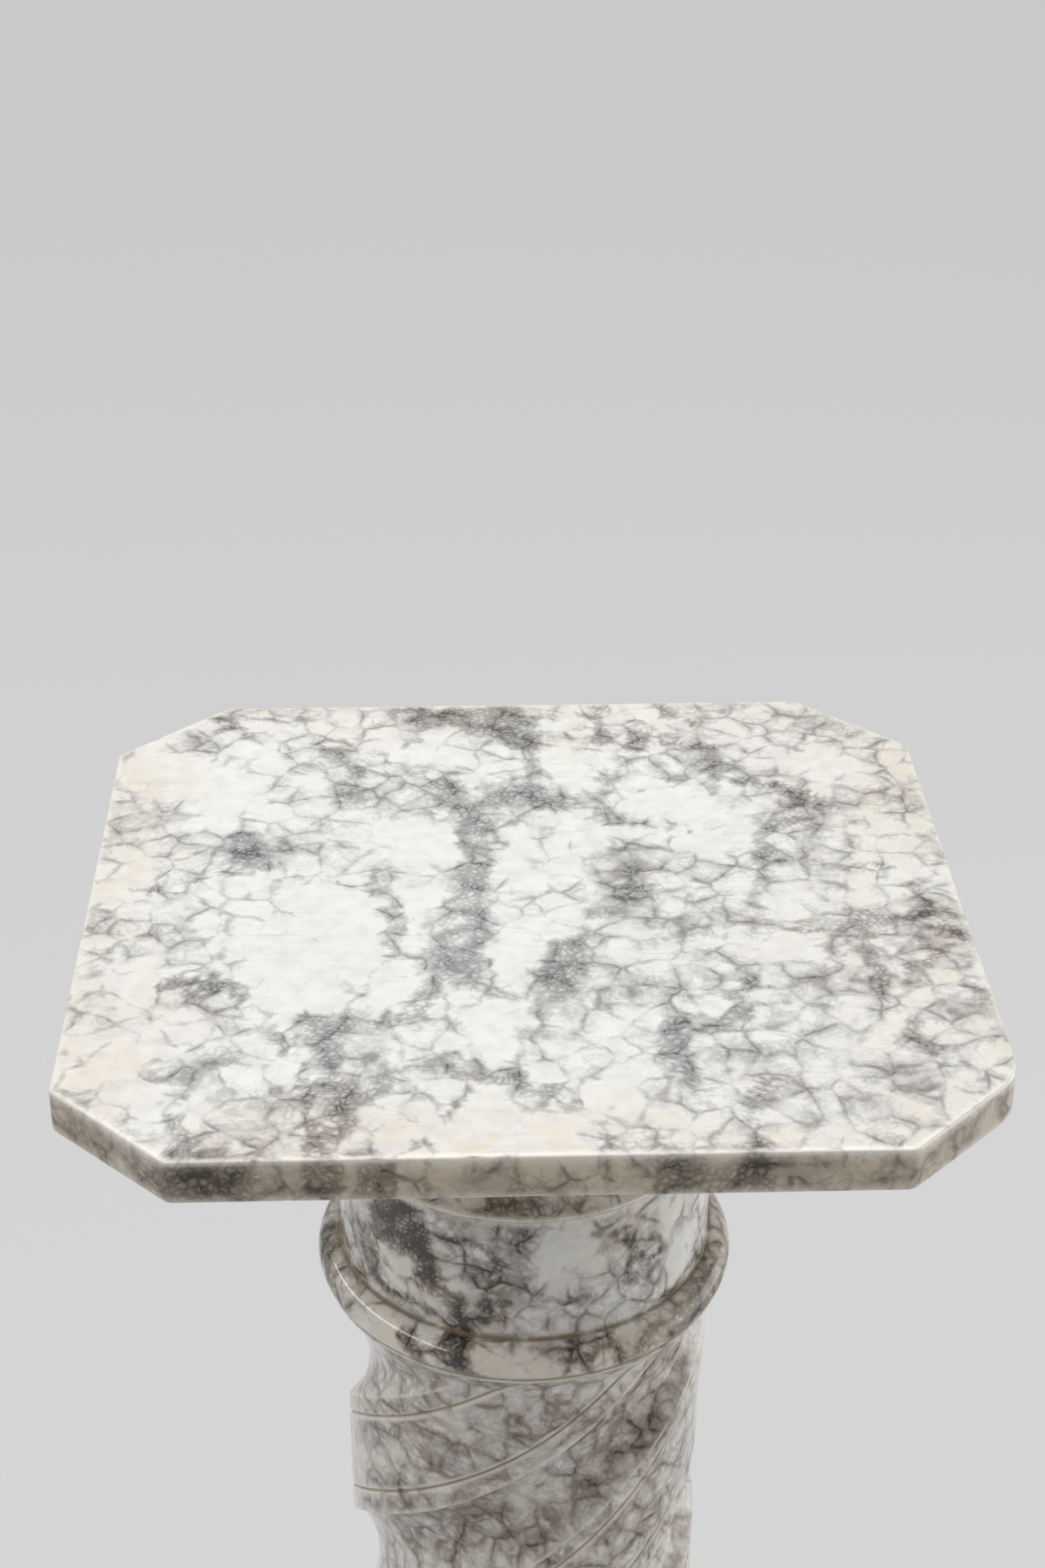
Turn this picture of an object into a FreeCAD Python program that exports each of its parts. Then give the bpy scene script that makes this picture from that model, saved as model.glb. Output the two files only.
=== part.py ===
import FreeCAD, Part
import os
import Sketcher

# A marble column pedestal. A square plate with sawn corners rests on a turned capital, and below it come
# a drum with a bead, a shaft carved with spiral flutes, a second drum, a spreading base and a plinth.
# A threaded rod runs up the middle and draws the stones together on thin beds of plaster.
# Lengths are in millimetres, +Z is up, and the origin is the centre of the plinth's underside.

doc = FreeCAD.newDocument("Pedestal")
sheet = doc.addObject("Spreadsheet::Sheet", "Dims")

DRIVING = [
    # the top plate and the plinth are square slabs whose corners are sawn off
    ("PlateSide", "300"),
    ("PlateCorner", "38.5"),
    ("PlateThick", "15"),
    ("PlateArris", "1.5"),
    ("PlinthSide", "300"),
    ("PlinthCorner", "38.5"),
    ("PlinthHeight", "50"),
    ("PlinthArris", "2.5"),
    # the capital spreads from its neck, over a step and a quarter round, to a rim under the plate
    ("CapitalHeight", "72.5"),
    ("CapitalRadius", "118"),
    ("CapitalRim", "5"),
    ("CapitalRound", "24"),
    ("CapitalRoundSwell", "7"),
    ("CapitalStep", "5"),
    ("CapitalStepWidth", "5"),
    ("CapitalSweep", "8"),
    # the base spreads from the same neck to a heavy roll on a low foot
    ("BaseHeight", "80"),
    ("BaseRadius", "118"),
    ("BaseFoot", "4"),
    ("BaseRoll", "34"),
    ("BaseRollSwell", "15"),
    ("BaseRollSet", "8"),
    ("BaseStep", "5"),
    ("BaseStepWidth", "6"),
    ("BaseSweep", "9"),
    # both necks are hollows that start flush with the drum they stand on or carry
    ("NeckInset", "8"),
    ("NeckFoot", "1.5"),
    ("NeckHollow", "8.5"),
    ("NeckSweep", "2.4"),
    # each drum is a plain cylinder that ends in a bead beside the shaft
    ("DrumRadius", "67.5"),
    ("DrumHeight", "50"),
    ("BeadHeight", "14.3"),
    ("BeadReach", "6.1"),
    ("BeadFillet", "1.8"),
    ("BeadSwell", "4.9"),
    # the shaft is a cylinder with three flutes between flat bands, and a bell at each end
    ("ShaftLength", "695.5"),
    ("ShaftInset", "1.2"),
    ("SpiralLead", "307.5"),
    ("SpiralCount", "3"),
    ("SpiralDrop", "71.3"),
    ("FluteHeight", "45.5"),
    ("FluteWall", "3.3"),
    ("FluteWallDrop", "0.9"),
    ("FluteSwell", "4.6"),
    ("FluteRamp", "8"),
    ("FluteRampDepth", "6.5"),
    ("FluteDepth", "9.5"),
    ("BellHeight", "54"),
    ("BellSwell", "4.1"),
    ("BellInset", "0.6"),
    # the rod, its nuts and washers, and the room around them
    ("RodRadius", "7"),
    ("RodBevel", "1.5"),
    ("BoreClearance", "2"),
    ("ThreadClearance", "0.1"),
    ("RodEntry", "6"),
    ("RodTail", "4"),
    ("NutAcrossFlats", "22"),
    ("NutHeight", "11"),
    ("UpperWasherRadius", "19"),
    ("LowerWasherRadius", "25"),
    ("WasherThick", "3"),
    ("WasherClearance", "0.5"),
    ("RecessClearance", "3"),
    ("RecessCover", "5"),
    ("SocketClearance", "2"),
    # the plaster beds lie in shallow dishes cut in the lower stone, so the stones meet at their rims
    ("BedThick", "1.5"),
    ("BedRim", "16"),
    ("BedMargin", "0.4"),
    ("BedHoleMargin", "3"),
]

# radii and heights that follow from the driving sizes, heights counted up from the floor
DERIVED = [
    ("CollarHeight", "=DrumHeight + BeadHeight"),
    ("LowerDrumFloor", "=PlinthHeight + BaseHeight"),
    ("ShaftFloor", "=LowerDrumFloor + CollarHeight"),
    ("UpperDrumFloor", "=ShaftFloor + ShaftLength"),
    ("CapitalFloor", "=UpperDrumFloor + CollarHeight"),
    ("PlateFloor", "=CapitalFloor + CapitalHeight"),
    ("ShaftRadius", "=DrumRadius - ShaftInset"),
    ("CoreRadius", "=ShaftRadius - FluteDepth"),
    ("NeckRadius", "=DrumRadius - NeckInset"),
    ("NeckHeight", "=NeckFoot + NeckHollow"),
    ("BeadArris", "=DrumRadius + BeadReach"),
    ("BoreRadius", "=RodRadius + BoreClearance"),
    ("UpperRecessRadius", "=UpperWasherRadius + RecessClearance"),
    ("LowerRecessRadius", "=LowerWasherRadius + RecessClearance"),
    ("FastenerStack", "=WasherThick + NutHeight"),
    ("UpperRecessDepth", "=FastenerStack + RecessCover + RecessClearance - BedThick"),
    ("LowerRecessDepth", "=FastenerStack + RodTail + RodTail"),
    ("WideBed", "=CapitalRadius - BedRim"),
    ("DrumBed", "=DrumRadius - BedRim"),
    ("ShaftBed", "=CoreRadius - BedRim"),
    ("BaseBed", "=BaseRadius - BedRim"),
]
for row, (name, content) in enumerate(DRIVING + DERIVED, 1):
    sheet.set(f"A{row}", name)
    sheet.set(f"B{row}", content)
    sheet.setAlias(f"B{row}", name)
doc.recompute()

pieces = {}


def worth(rule):
    """The number that a rule over the sheet's names gives."""
    return float(sheet.evalExpression(rule))


def plane(body, role):
    """One of the body's own origin planes."""
    return next(item for item in body.Origin.OriginFeatures if item.Role == role)


def new_body(node, floor):
    """An empty body that stands at a height above the floor."""
    body = doc.addObject("PartDesign::Body", node)
    body.Label = node
    body.setExpression(".Placement.Base.z", floor)
    pieces[node] = body
    return body


def new_sketch(body, name, role):
    """A sketch on one of the body's origin planes."""
    sketch = body.newObject("Sketcher::SketchObject", name)
    sketch.AttachmentSupport = [(plane(body, role), "")]
    sketch.MapMode = "FlatFace"
    return sketch


def tie(sketch, kind, *where_and_rule):
    """A dimension of the sketch that follows a rule over the sheet's names."""
    *where, rule = where_and_rule
    index = sketch.addConstraint(Sketcher.Constraint(kind, *where, worth(rule)))
    sketch.setExpression(f"Constraints[{index}]", rule)


def place(sketch, edge, end, across, up):
    """Holds one end of an edge at a distance across and up from the sketch's origin."""
    if across == "0":
        sketch.addConstraint(Sketcher.Constraint("PointOnObject", edge, end, -2))
    else:
        tie(sketch, "DistanceX", -1, 1, edge, end, across)
    if up == "0":
        sketch.addConstraint(Sketcher.Constraint("PointOnObject", edge, end, -1))
    else:
        tie(sketch, "DistanceY", -1, 1, edge, end, up)


def outline(sketch, corners):
    """A closed outline. Each corner is (across, up), and a third item, a swell, bends the run that leaves
    the corner into an arc: it stands out to the right of the run, or to the left where a minus leads."""
    count = len(corners)
    tails = []
    for corner, after in zip(corners, corners[1:] + corners[:1]):
        start = FreeCAD.Vector(worth(corner[0]), worth(corner[1]), 0)
        end = FreeCAD.Vector(worth(after[0]), worth(after[1]), 0)
        if len(corner) == 2:
            edge = sketch.addGeometry(Part.LineSegment(start, end))
            tails.append((edge, 1, 2))
            continue
        leftward = corner[2].startswith("-")
        swell = corner[2].lstrip("-")
        run = end - start
        right = FreeCAD.Vector(run.y, -run.x, 0).normalize()
        side = -1 if leftward else 1
        crown = (start + end) * 0.5 + right * (side * worth(swell))
        edge = sketch.addGeometry(Part.Arc(start, crown, end))
        first, last = (2, 1) if leftward else (1, 2)
        tails.append((edge, first, last))
        chord = f"((({after[0]}) - ({corner[0]}))^2 + (({after[1]}) - ({corner[1]}))^2)"
        tie(sketch, "Radius", edge, f"{chord} / (8 * {swell}) + {swell} / 2")
    for number, (edge, first, last) in enumerate(tails):
        following, its_first, its_last = tails[(number + 1) % count]
        sketch.addConstraint(Sketcher.Constraint("Coincident", edge, last, following, its_first))
        place(sketch, edge, first, corners[number][0], corners[number][1])


def turned(body, name, corners, feature="PartDesign::Revolution"):
    """Turns an outline in the XZ plane about the body's axis."""
    sketch = new_sketch(body, name + "Profile", "XZ_Plane")
    outline(sketch, corners)
    turn = body.newObject(feature, name)
    turn.Profile = sketch
    turn.ReferenceAxis = (sketch, ["V_Axis"])
    turn.Angle = 360
    doc.recompute()
    return turn


def slab(body, side, corner, height, arris):
    """A square slab with its corners sawn off and its arrises eased."""
    sketch = new_sketch(body, "Square", "XY_Plane")
    half = worth(side) / 2
    spots = [(-half, -half), (half, -half), (half, half), (-half, half)]
    points = [FreeCAD.Vector(x, y, 0) for x, y in spots]
    for start, end in zip(points, points[1:] + points[:1]):
        sketch.addGeometry(Part.LineSegment(start, end))
    for edge in range(4):
        sketch.addConstraint(Sketcher.Constraint("Coincident", edge, 2, (edge + 1) % 4, 1))
        sketch.addConstraint(Sketcher.Constraint("Vertical" if edge % 2 else "Horizontal", edge))
    sketch.addConstraint(Sketcher.Constraint("Symmetric", 0, 1, 1, 2, -1, 1))
    tie(sketch, "DistanceX", 0, 1, 0, 2, side)
    tie(sketch, "DistanceY", 1, 1, 1, 2, side)
    pad = body.newObject("PartDesign::Pad", "Slab")
    pad.Profile = sketch
    pad.setExpression("Length", height)
    doc.recompute()
    upright = [
        f"Edge{number}"
        for number, edge in enumerate(pad.Shape.Edges, 1)
        if abs(edge.tangentAt(edge.FirstParameter).z) > 0.9
    ]
    corners = body.newObject("PartDesign::Chamfer", "SawnCorners")
    corners.Base = (pad, upright)
    corners.setExpression("Size", corner)
    doc.recompute()
    rims = [
        f"Edge{number}"
        for number, edge in enumerate(corners.Shape.Edges, 1)
        if abs(edge.tangentAt(edge.FirstParameter).z) < 0.1
    ]
    eased = body.newObject("PartDesign::Fillet", "EasedArrises")
    eased.Base = (corners, rims)
    eased.setExpression("Radius", arris)
    doc.recompute()
    return eased


def bored(body, name, radius, depth, floor):
    """A round hole sunk upwards from a height above the body's own floor."""
    sketch = new_sketch(body, name + "Circle", "XY_Plane")
    sketch.setExpression(".AttachmentOffset.Base.z", floor)
    circle = sketch.addGeometry(Part.Circle(FreeCAD.Vector(0, 0, 0), FreeCAD.Vector(0, 0, 1), worth(radius)))
    sketch.addConstraint(Sketcher.Constraint("Coincident", circle, 3, -1, 1))
    tie(sketch, "Radius", circle, radius)
    before = body.Shape.Volume
    hole = body.newObject("PartDesign::Pocket", name)
    hole.Profile = sketch
    hole.Reversed = True
    hole.setExpression("Length", depth)
    doc.recompute()
    if not hole.Shape.Volume < before:
        raise RuntimeError(name + " cuts nothing")
    return hole


# The top plate has a blind socket underneath for the end of the rod.
plate = new_body("top_plate", "Dims.PlateFloor")
slab(plate, "Dims.PlateSide", "Dims.PlateCorner", "Dims.PlateThick", "Dims.PlateArris")
bored(plate, "RodSocket", "Dims.BoreRadius", "Dims.RodEntry + Dims.SocketClearance", "0")

# The capital, from its neck up: foot, hollow, sweep, step, quarter round and rim. Its top holds the upper
# nut's recess and a dish for the plaster.
capital = new_body("capital", "Dims.CapitalFloor")
step_radius = "Dims.CapitalRadius - Dims.CapitalRound - Dims.CapitalStepWidth"
step_top = "Dims.CapitalHeight - Dims.CapitalRim - Dims.CapitalRound"
turned(
    capital,
    "Capital",
    [
        ("Dims.BoreRadius", "0"),
        ("Dims.DrumRadius", "0"),
        ("Dims.DrumRadius", "Dims.NeckFoot", "-Dims.NeckSweep"),
        ("Dims.NeckRadius", "Dims.NeckHeight", "-Dims.CapitalSweep"),
        (step_radius, f"{step_top} - Dims.CapitalStep"),
        (step_radius, step_top),
        (f"{step_radius} + Dims.CapitalStepWidth", step_top, "Dims.CapitalRoundSwell"),
        ("Dims.CapitalRadius", "Dims.CapitalHeight - Dims.CapitalRim"),
        ("Dims.CapitalRadius", "Dims.CapitalHeight"),
        ("Dims.WideBed", "Dims.CapitalHeight"),
        ("Dims.WideBed", "Dims.CapitalHeight - Dims.BedThick"),
        ("Dims.UpperRecessRadius", "Dims.CapitalHeight - Dims.BedThick"),
        ("Dims.UpperRecessRadius", "Dims.CapitalHeight - Dims.UpperRecessDepth"),
        ("Dims.BoreRadius", "Dims.CapitalHeight - Dims.UpperRecessDepth"),
    ],
)

# The upper drum stands on its bead, and the lower one carries its bead on top.
upper_drum = new_body("upper_drum", "Dims.UpperDrumFloor")
turned(
    upper_drum,
    "Drum",
    [
        ("Dims.BoreRadius", "0"),
        ("Dims.BeadArris", "0"),
        ("Dims.BeadArris", "Dims.BeadFillet", "Dims.BeadSwell"),
        ("Dims.DrumRadius", "Dims.BeadHeight"),
        ("Dims.DrumRadius", "Dims.CollarHeight"),
        ("Dims.DrumBed", "Dims.CollarHeight"),
        ("Dims.DrumBed", "Dims.CollarHeight - Dims.BedThick"),
        ("Dims.BoreRadius", "Dims.CollarHeight - Dims.BedThick"),
    ],
)
lower_drum = new_body("lower_drum", "Dims.LowerDrumFloor")
turned(
    lower_drum,
    "Drum",
    [
        ("Dims.BoreRadius", "0"),
        ("Dims.DrumRadius", "0"),
        ("Dims.DrumRadius", "Dims.DrumHeight", "Dims.BeadSwell"),
        ("Dims.BeadArris", "Dims.CollarHeight - Dims.BeadFillet"),
        ("Dims.BeadArris", "Dims.CollarHeight"),
        ("Dims.ShaftBed", "Dims.CollarHeight"),
        ("Dims.ShaftBed", "Dims.CollarHeight - Dims.BedThick"),
        ("Dims.BoreRadius", "Dims.CollarHeight - Dims.BedThick"),
    ],
)

# The shaft starts as a turned blank.
shaft = new_body("spiral_shaft", "Dims.ShaftFloor")
turned(
    shaft,
    "Blank",
    [
        ("Dims.BoreRadius", "0"),
        ("Dims.ShaftRadius", "0"),
        ("Dims.ShaftRadius", "Dims.ShaftLength"),
        ("Dims.ShaftBed", "Dims.ShaftLength"),
        ("Dims.ShaftBed", "Dims.ShaftLength - Dims.BedThick"),
        ("Dims.BoreRadius", "Dims.ShaftLength - Dims.BedThick"),
    ],
)

# One flute is carved up the whole blank along a right-handed helix, and repeated round it. Its section has
# a short steep wall under the band above, a wide hollow, and a ramp up to the band below. The cutter
# enters below the blank, a whole number of turns under the crossing that sets where the spiral starts.
flute_section = new_sketch(shaft, "FluteSection", "XZ_Plane")
turns_below = "ceil(Dims.ShaftLength / Dims.SpiralLead)"
entry = f"Dims.ShaftLength - Dims.SpiralDrop - Dims.FluteHeight - {turns_below} * Dims.SpiralLead"
flute_section.setExpression(".AttachmentOffset.Base.y", entry)
clear_radius = "Dims.BeadArris + Dims.BeadReach"
outline(
    flute_section,
    [
        (clear_radius, "0"),
        (clear_radius, "Dims.FluteHeight"),
        ("Dims.ShaftRadius", "Dims.FluteHeight"),
        ("Dims.ShaftRadius - Dims.FluteWall", "Dims.FluteHeight - Dims.FluteWallDrop", "Dims.FluteSwell"),
        ("Dims.ShaftRadius - Dims.FluteRampDepth", "Dims.FluteRamp"),
        ("Dims.ShaftRadius", "0"),
    ],
)
flute = shaft.newObject("PartDesign::SubtractiveHelix", "Flute")
flute.Profile = flute_section
flute.ReferenceAxis = (flute_section, ["V_Axis"])
flute.Mode = "pitch-height-angle"
flute.setExpression("Pitch", "Dims.SpiralLead")
flute.setExpression("Height", f"({turns_below} + 1) * Dims.SpiralLead")
flute.LeftHanded = False
doc.recompute()
flutes = shaft.newObject("PartDesign::PolarPattern", "Flutes")
flutes.Originals = [flute]
flutes.Axis = (flute_section, ["V_Axis"])
flutes.Angle = 360
flutes.setExpression("Occurrences", "Dims.SpiralCount")
shaft.Tip = flutes
doc.recompute()

# At each end the core swells into a bell nearly as wide as the bead beside it, and the flutes die out on it.
bell_foot = "(Dims.CoreRadius + Dims.ShaftBed) / 2"
bell_edge = "Dims.BeadArris - Dims.BellInset"
bells = [
    ("UpperBell", "Dims.ShaftLength", "Dims.ShaftLength - Dims.BellHeight", "-Dims.BellSwell"),
    ("LowerBell", "0", "Dims.BellHeight", "Dims.BellSwell"),
]
for name, wide_end, narrow_end, swell in bells:
    bell = [
        (bell_foot, wide_end),
        (bell_foot, narrow_end),
        ("Dims.CoreRadius", narrow_end, swell),
        (bell_edge, wide_end),
    ]
    turned(shaft, name, bell)

# The base is the capital turned over, with a heavy roll on a low foot in place of the quarter round.
base = new_body("base", "Dims.PlinthHeight")
roll_top = "Dims.BaseFoot + Dims.BaseRoll"
roll_edge = "Dims.BaseRadius - Dims.BaseRollSet"
turned(
    base,
    "Base",
    [
        ("Dims.BoreRadius", "0"),
        ("Dims.BaseRadius", "0"),
        ("Dims.BaseRadius", "Dims.BaseFoot", "Dims.BaseRollSwell"),
        (roll_edge, roll_top),
        (f"{roll_edge} - Dims.BaseStepWidth", roll_top),
        (f"{roll_edge} - Dims.BaseStepWidth", f"{roll_top} + Dims.BaseStep"),
        (f"{roll_edge} - 2 * Dims.BaseStepWidth", f"{roll_top} + Dims.BaseStep", "-Dims.BaseSweep"),
        ("Dims.NeckRadius", "Dims.BaseHeight - Dims.NeckHeight", "-Dims.NeckSweep"),
        ("Dims.DrumRadius", "Dims.BaseHeight - Dims.NeckFoot"),
        ("Dims.DrumRadius", "Dims.BaseHeight"),
        ("Dims.DrumBed", "Dims.BaseHeight"),
        ("Dims.DrumBed", "Dims.BaseHeight - Dims.BedThick"),
        ("Dims.BoreRadius", "Dims.BaseHeight - Dims.BedThick"),
    ],
)

# The plinth is bored for the rod, with the lower nut's recess underneath and the last dish on top.
plinth = new_body("plinth", "0")
slab(plinth, "Dims.PlinthSide", "Dims.PlinthCorner", "Dims.PlinthHeight", "Dims.PlinthArris")
bored(plinth, "RodBore", "Dims.BoreRadius", "Dims.PlinthHeight", "0")
bored(plinth, "NutRecess", "Dims.LowerRecessRadius", "Dims.LowerRecessDepth", "0")
bored(plinth, "PlasterDish", "Dims.BaseBed", "Dims.BedThick", "Dims.PlinthHeight - Dims.BedThick")

# The rod reaches from below the lower nut to the socket in the plate.
rod = new_body("tie_rod", "Dims.LowerRecessDepth - Dims.FastenerStack - Dims.RodTail")
rod_end = "Dims.PlateFloor + Dims.RodEntry"
rod_length = f"{rod_end} - (Dims.LowerRecessDepth - Dims.FastenerStack - Dims.RodTail)"
turned(
    rod,
    "Rod",
    [
        ("0", "0"),
        ("Dims.RodRadius - Dims.RodBevel", "0"),
        ("Dims.RodRadius", "Dims.RodBevel"),
        ("Dims.RodRadius", f"{rod_length} - Dims.RodBevel"),
        ("Dims.RodRadius - Dims.RodBevel", rod_length),
        ("0", rod_length),
    ],
)


def ring(node, floor, height, outer, inner):
    """A flat ring made of two cylinders, one cut from the other."""
    body = doc.addObject("Part::Cylinder", node + "_disc")
    body.setExpression("Radius", outer)
    body.setExpression("Height", height)
    hole = doc.addObject("Part::Cylinder", node + "_hole")
    hole.setExpression("Radius", inner)
    hole.setExpression("Height", height)
    cut = doc.addObject("Part::Cut", node)
    cut.Base = body
    cut.Tool = hole
    cut.Label = node
    cut.setExpression(".Placement.Base.z", floor)
    pieces[node] = cut


def nut(node, floor):
    """A hexagon nut: a six-sided prism with the rod's hole."""
    hexagon = doc.addObject("Part::Prism", node + "_hexagon")
    hexagon.Polygon = 6
    hexagon.setExpression("Circumradius", "Dims.NutAcrossFlats / 2 / cos(30 deg)")
    hexagon.setExpression("Height", "Dims.NutHeight")
    hole = doc.addObject("Part::Cylinder", node + "_hole")
    hole.setExpression("Radius", "Dims.RodRadius + Dims.ThreadClearance")
    hole.setExpression("Height", "Dims.NutHeight")
    cut = doc.addObject("Part::Cut", node)
    cut.Base = hexagon
    cut.Tool = hole
    cut.Label = node
    cut.setExpression(".Placement.Base.z", floor)
    pieces[node] = cut


washer_hole = "Dims.RodRadius + Dims.WasherClearance"
upper_seat = "Dims.PlateFloor - Dims.UpperRecessDepth"
lower_seat = "Dims.LowerRecessDepth"
washer_thick = "Dims.WasherThick"
ring("upper_washer", upper_seat, washer_thick, "Dims.UpperWasherRadius", washer_hole)
nut("upper_nut", f"{upper_seat} + {washer_thick}")
ring("lower_washer", f"{lower_seat} - {washer_thick}", washer_thick, "Dims.LowerWasherRadius", washer_hole)
nut("lower_nut", f"{lower_seat} - Dims.FastenerStack")

# Every joint has a ring of plaster in the dish of the stone below it.
beds = [
    ("plinth_bed", "Dims.PlinthHeight", "Dims.BaseBed", "Dims.BoreRadius"),
    ("base_bed", "Dims.LowerDrumFloor", "Dims.DrumBed", "Dims.BoreRadius"),
    ("lower_drum_bed", "Dims.ShaftFloor", "Dims.ShaftBed", "Dims.BoreRadius"),
    ("shaft_bed", "Dims.UpperDrumFloor", "Dims.ShaftBed", "Dims.BoreRadius"),
    ("upper_drum_bed", "Dims.CapitalFloor", "Dims.DrumBed", "Dims.BoreRadius"),
    ("capital_bed", "Dims.PlateFloor", "Dims.WideBed", "Dims.UpperRecessRadius"),
]
for node, joint, dish, opening in beds:
    outer = f"{dish} - Dims.BedMargin"
    inner = f"{opening} + Dims.BedHoleMargin"
    ring(node, f"{joint} - Dims.BedThick", "Dims.BedThick", outer, inner)

doc.recompute()
failed = [item.Label for item in doc.Objects if "Invalid" in item.State or "Error" in item.State]
failed += [node for node, item in pieces.items() if item.Shape.isNull() or not item.Shape.isValid()]
if failed:
    raise RuntimeError("not built: " + ", ".join(sorted(set(failed))))

os.makedirs("parts", exist_ok=True)
for node, item in pieces.items():
    item.Shape.exportStep(os.path.join("parts", node + ".step"))
    solids = len(item.Shape.Solids)
    print(f"{node:15s} {solids} solid {item.Shape.Volume / 1000:9.1f} cm3")
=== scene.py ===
import bpy
import numpy as np
from mathutils import Matrix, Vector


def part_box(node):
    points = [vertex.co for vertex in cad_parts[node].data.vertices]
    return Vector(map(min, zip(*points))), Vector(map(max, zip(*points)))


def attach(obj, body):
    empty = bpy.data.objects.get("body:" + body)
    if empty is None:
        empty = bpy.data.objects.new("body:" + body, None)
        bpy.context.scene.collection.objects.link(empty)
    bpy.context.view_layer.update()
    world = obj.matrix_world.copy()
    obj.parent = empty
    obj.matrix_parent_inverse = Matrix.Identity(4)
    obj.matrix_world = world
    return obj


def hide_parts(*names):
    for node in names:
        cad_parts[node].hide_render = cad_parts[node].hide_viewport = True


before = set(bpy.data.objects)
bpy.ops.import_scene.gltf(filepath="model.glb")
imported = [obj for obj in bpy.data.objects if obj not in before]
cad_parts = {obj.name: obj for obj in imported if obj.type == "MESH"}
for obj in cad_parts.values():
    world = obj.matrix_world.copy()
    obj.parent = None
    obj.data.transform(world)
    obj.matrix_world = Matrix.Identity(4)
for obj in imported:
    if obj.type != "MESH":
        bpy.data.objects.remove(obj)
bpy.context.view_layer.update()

# The camera stands a little left of the column's axis, at a standing person's eye height, and looks down
# past the plate's far edge. Lengths are in metres and angles in degrees.
eye = (-0.0289, -0.8001, 1.5142)
lens = 61.98
tilt, heading, lean = np.radians([28.13, 2.0, 0.16])
ahead = np.array([np.cos(tilt) * np.sin(heading), np.cos(tilt) * np.cos(heading), -np.sin(tilt)])
level = np.array([np.cos(heading), -np.sin(heading), 0.0])
below = np.cross(ahead, level)
across = np.cos(lean) * level - np.sin(lean) * below
down = np.sin(lean) * level + np.cos(lean) * below
turned_camera = Matrix(np.column_stack([across, -down, -ahead]).tolist()).to_4x4()
camera = bpy.data.objects.new("camera", bpy.data.cameras.new("camera"))
camera.data.lens = lens
camera.matrix_world = Matrix.Translation(eye) @ turned_camera
bpy.context.collection.objects.link(camera)
bpy.context.scene.camera = camera
bpy.context.scene.view_settings.view_transform = "Standard"

# The top plate: a sawn slab of white breccia marble with grey veins, 300 mm square. Its corners are sawn off,
# its top is polished and yellowed towards the edge, and its arrises are worn and chipped by a century of use.
# It is laid on the capital in plaster, and a blind socket underneath takes the end of the tie rod.
MM = 0.001


def ripple(points, size, seed):
    """A smooth random height from -1 to 1 over points: the mean of plane waves in random directions, whose
    lengths are near one size, scaled so that most heights fall within one."""
    draw = np.random.default_rng(seed)
    waves = 18
    turns = draw.normal(size=(waves, points.shape[-1]))
    turns /= np.linalg.norm(turns, axis=1, keepdims=True)
    turns *= 2 * np.pi / (size * draw.uniform(0.6, 1.7, (waves, 1)))
    phases = draw.uniform(0, 2 * np.pi, waves)
    return np.sin(points @ turns.T + phases).sum(-1) / np.sqrt(waves) / 1.2


def step(values, low, high):
    """A smooth step: 0 up to low, 1 from high on, and 3t^2 - 2t^3 between them."""
    share = np.clip((values - low) / (high - low), 0, 1)
    return share * share * (3 - 2 * share)


def outline(corners, spacing=0.2 * MM):
    """The closed line through corners, as close points. A corner is (across, up), and a third item, a swell,
    bends the run that leaves it into an arc, which stands out that far to the right of the run."""
    runs = []
    for corner, after in zip(corners, corners[1:] + corners[:1]):
        start, run = np.array(corner[:2]), np.subtract(after[:2], corner[:2])
        chord = np.hypot(*run)
        share = np.linspace(0, 1, max(2, int(chord / spacing)), endpoint=False)[:, None]
        if len(corner) == 2:
            runs.append(start + share * run)
            continue
        swell = corner[2]
        right = np.array([run[1], -run[0]]) / chord
        half_angle = 2 * np.arctan2(2 * swell, chord)
        radius = chord * chord / (8 * swell) + swell / 2
        angle = (2 * share - 1) * half_angle
        arc = run / chord * radius * np.sin(angle) + right * (radius * np.cos(angle) - radius + swell)
        runs.append(start + run / 2 + arc)
    return np.concatenate(runs)


def thinned(line, count, wear, keenness=6 * MM, climb=(0.0, 0.0)):
    """A closed line worn and drawn again with a set count of points. Its points are averaged with those
    within the wear length, by a bell curve, and the new points crowd in proportion to one plus keenness
    times the bend. Returns the points and the bend at each, in radians per metre. A line that runs round
    its solid anticlockwise has a positive bend where it is convex. A line with a climb repeats instead of
    closing: its end leads to its start moved by that much."""
    closed = np.concatenate([line, line[:1] + climb])
    along = np.concatenate([[0], np.cumsum(np.hypot(*np.diff(closed, axis=0).T))])
    fine = int(along[-1] / (0.1 * MM))
    even = np.linspace(0, along[-1], fine, endpoint=False)
    rise = even[:, None] / along[-1] * climb
    line = np.stack([np.interp(even, along, closed[:, axis]) for axis in (0, 1)], 1) - rise
    reach = np.minimum(even, along[-1] - even)
    bell = np.exp(-((reach / wear) ** 2))
    spectrum = np.fft.rfft(bell / bell.sum())
    line = np.stack([np.fft.irfft(np.fft.rfft(line[:, axis]) * spectrum, fine) for axis in (0, 1)], 1) + rise
    ahead_run = np.roll(line, -1, 0) - line
    ahead_run[-1] += climb
    back_run = np.roll(ahead_run, 1, 0)
    turn = back_run[:, 0] * ahead_run[:, 1] - back_run[:, 1] * ahead_run[:, 0]
    bend = turn / np.hypot(*ahead_run.T) ** 3
    crowd = np.cumsum(1 + keenness * np.abs(bend))
    spots = np.interp(np.linspace(0, crowd[-1], count, endpoint=False), crowd, np.arange(fine))
    pick = [np.interp(spots, np.arange(fine), values) for values in (line[:, 0], line[:, 1], bend)]
    return np.stack(pick[:2], 1), pick[2]


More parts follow.
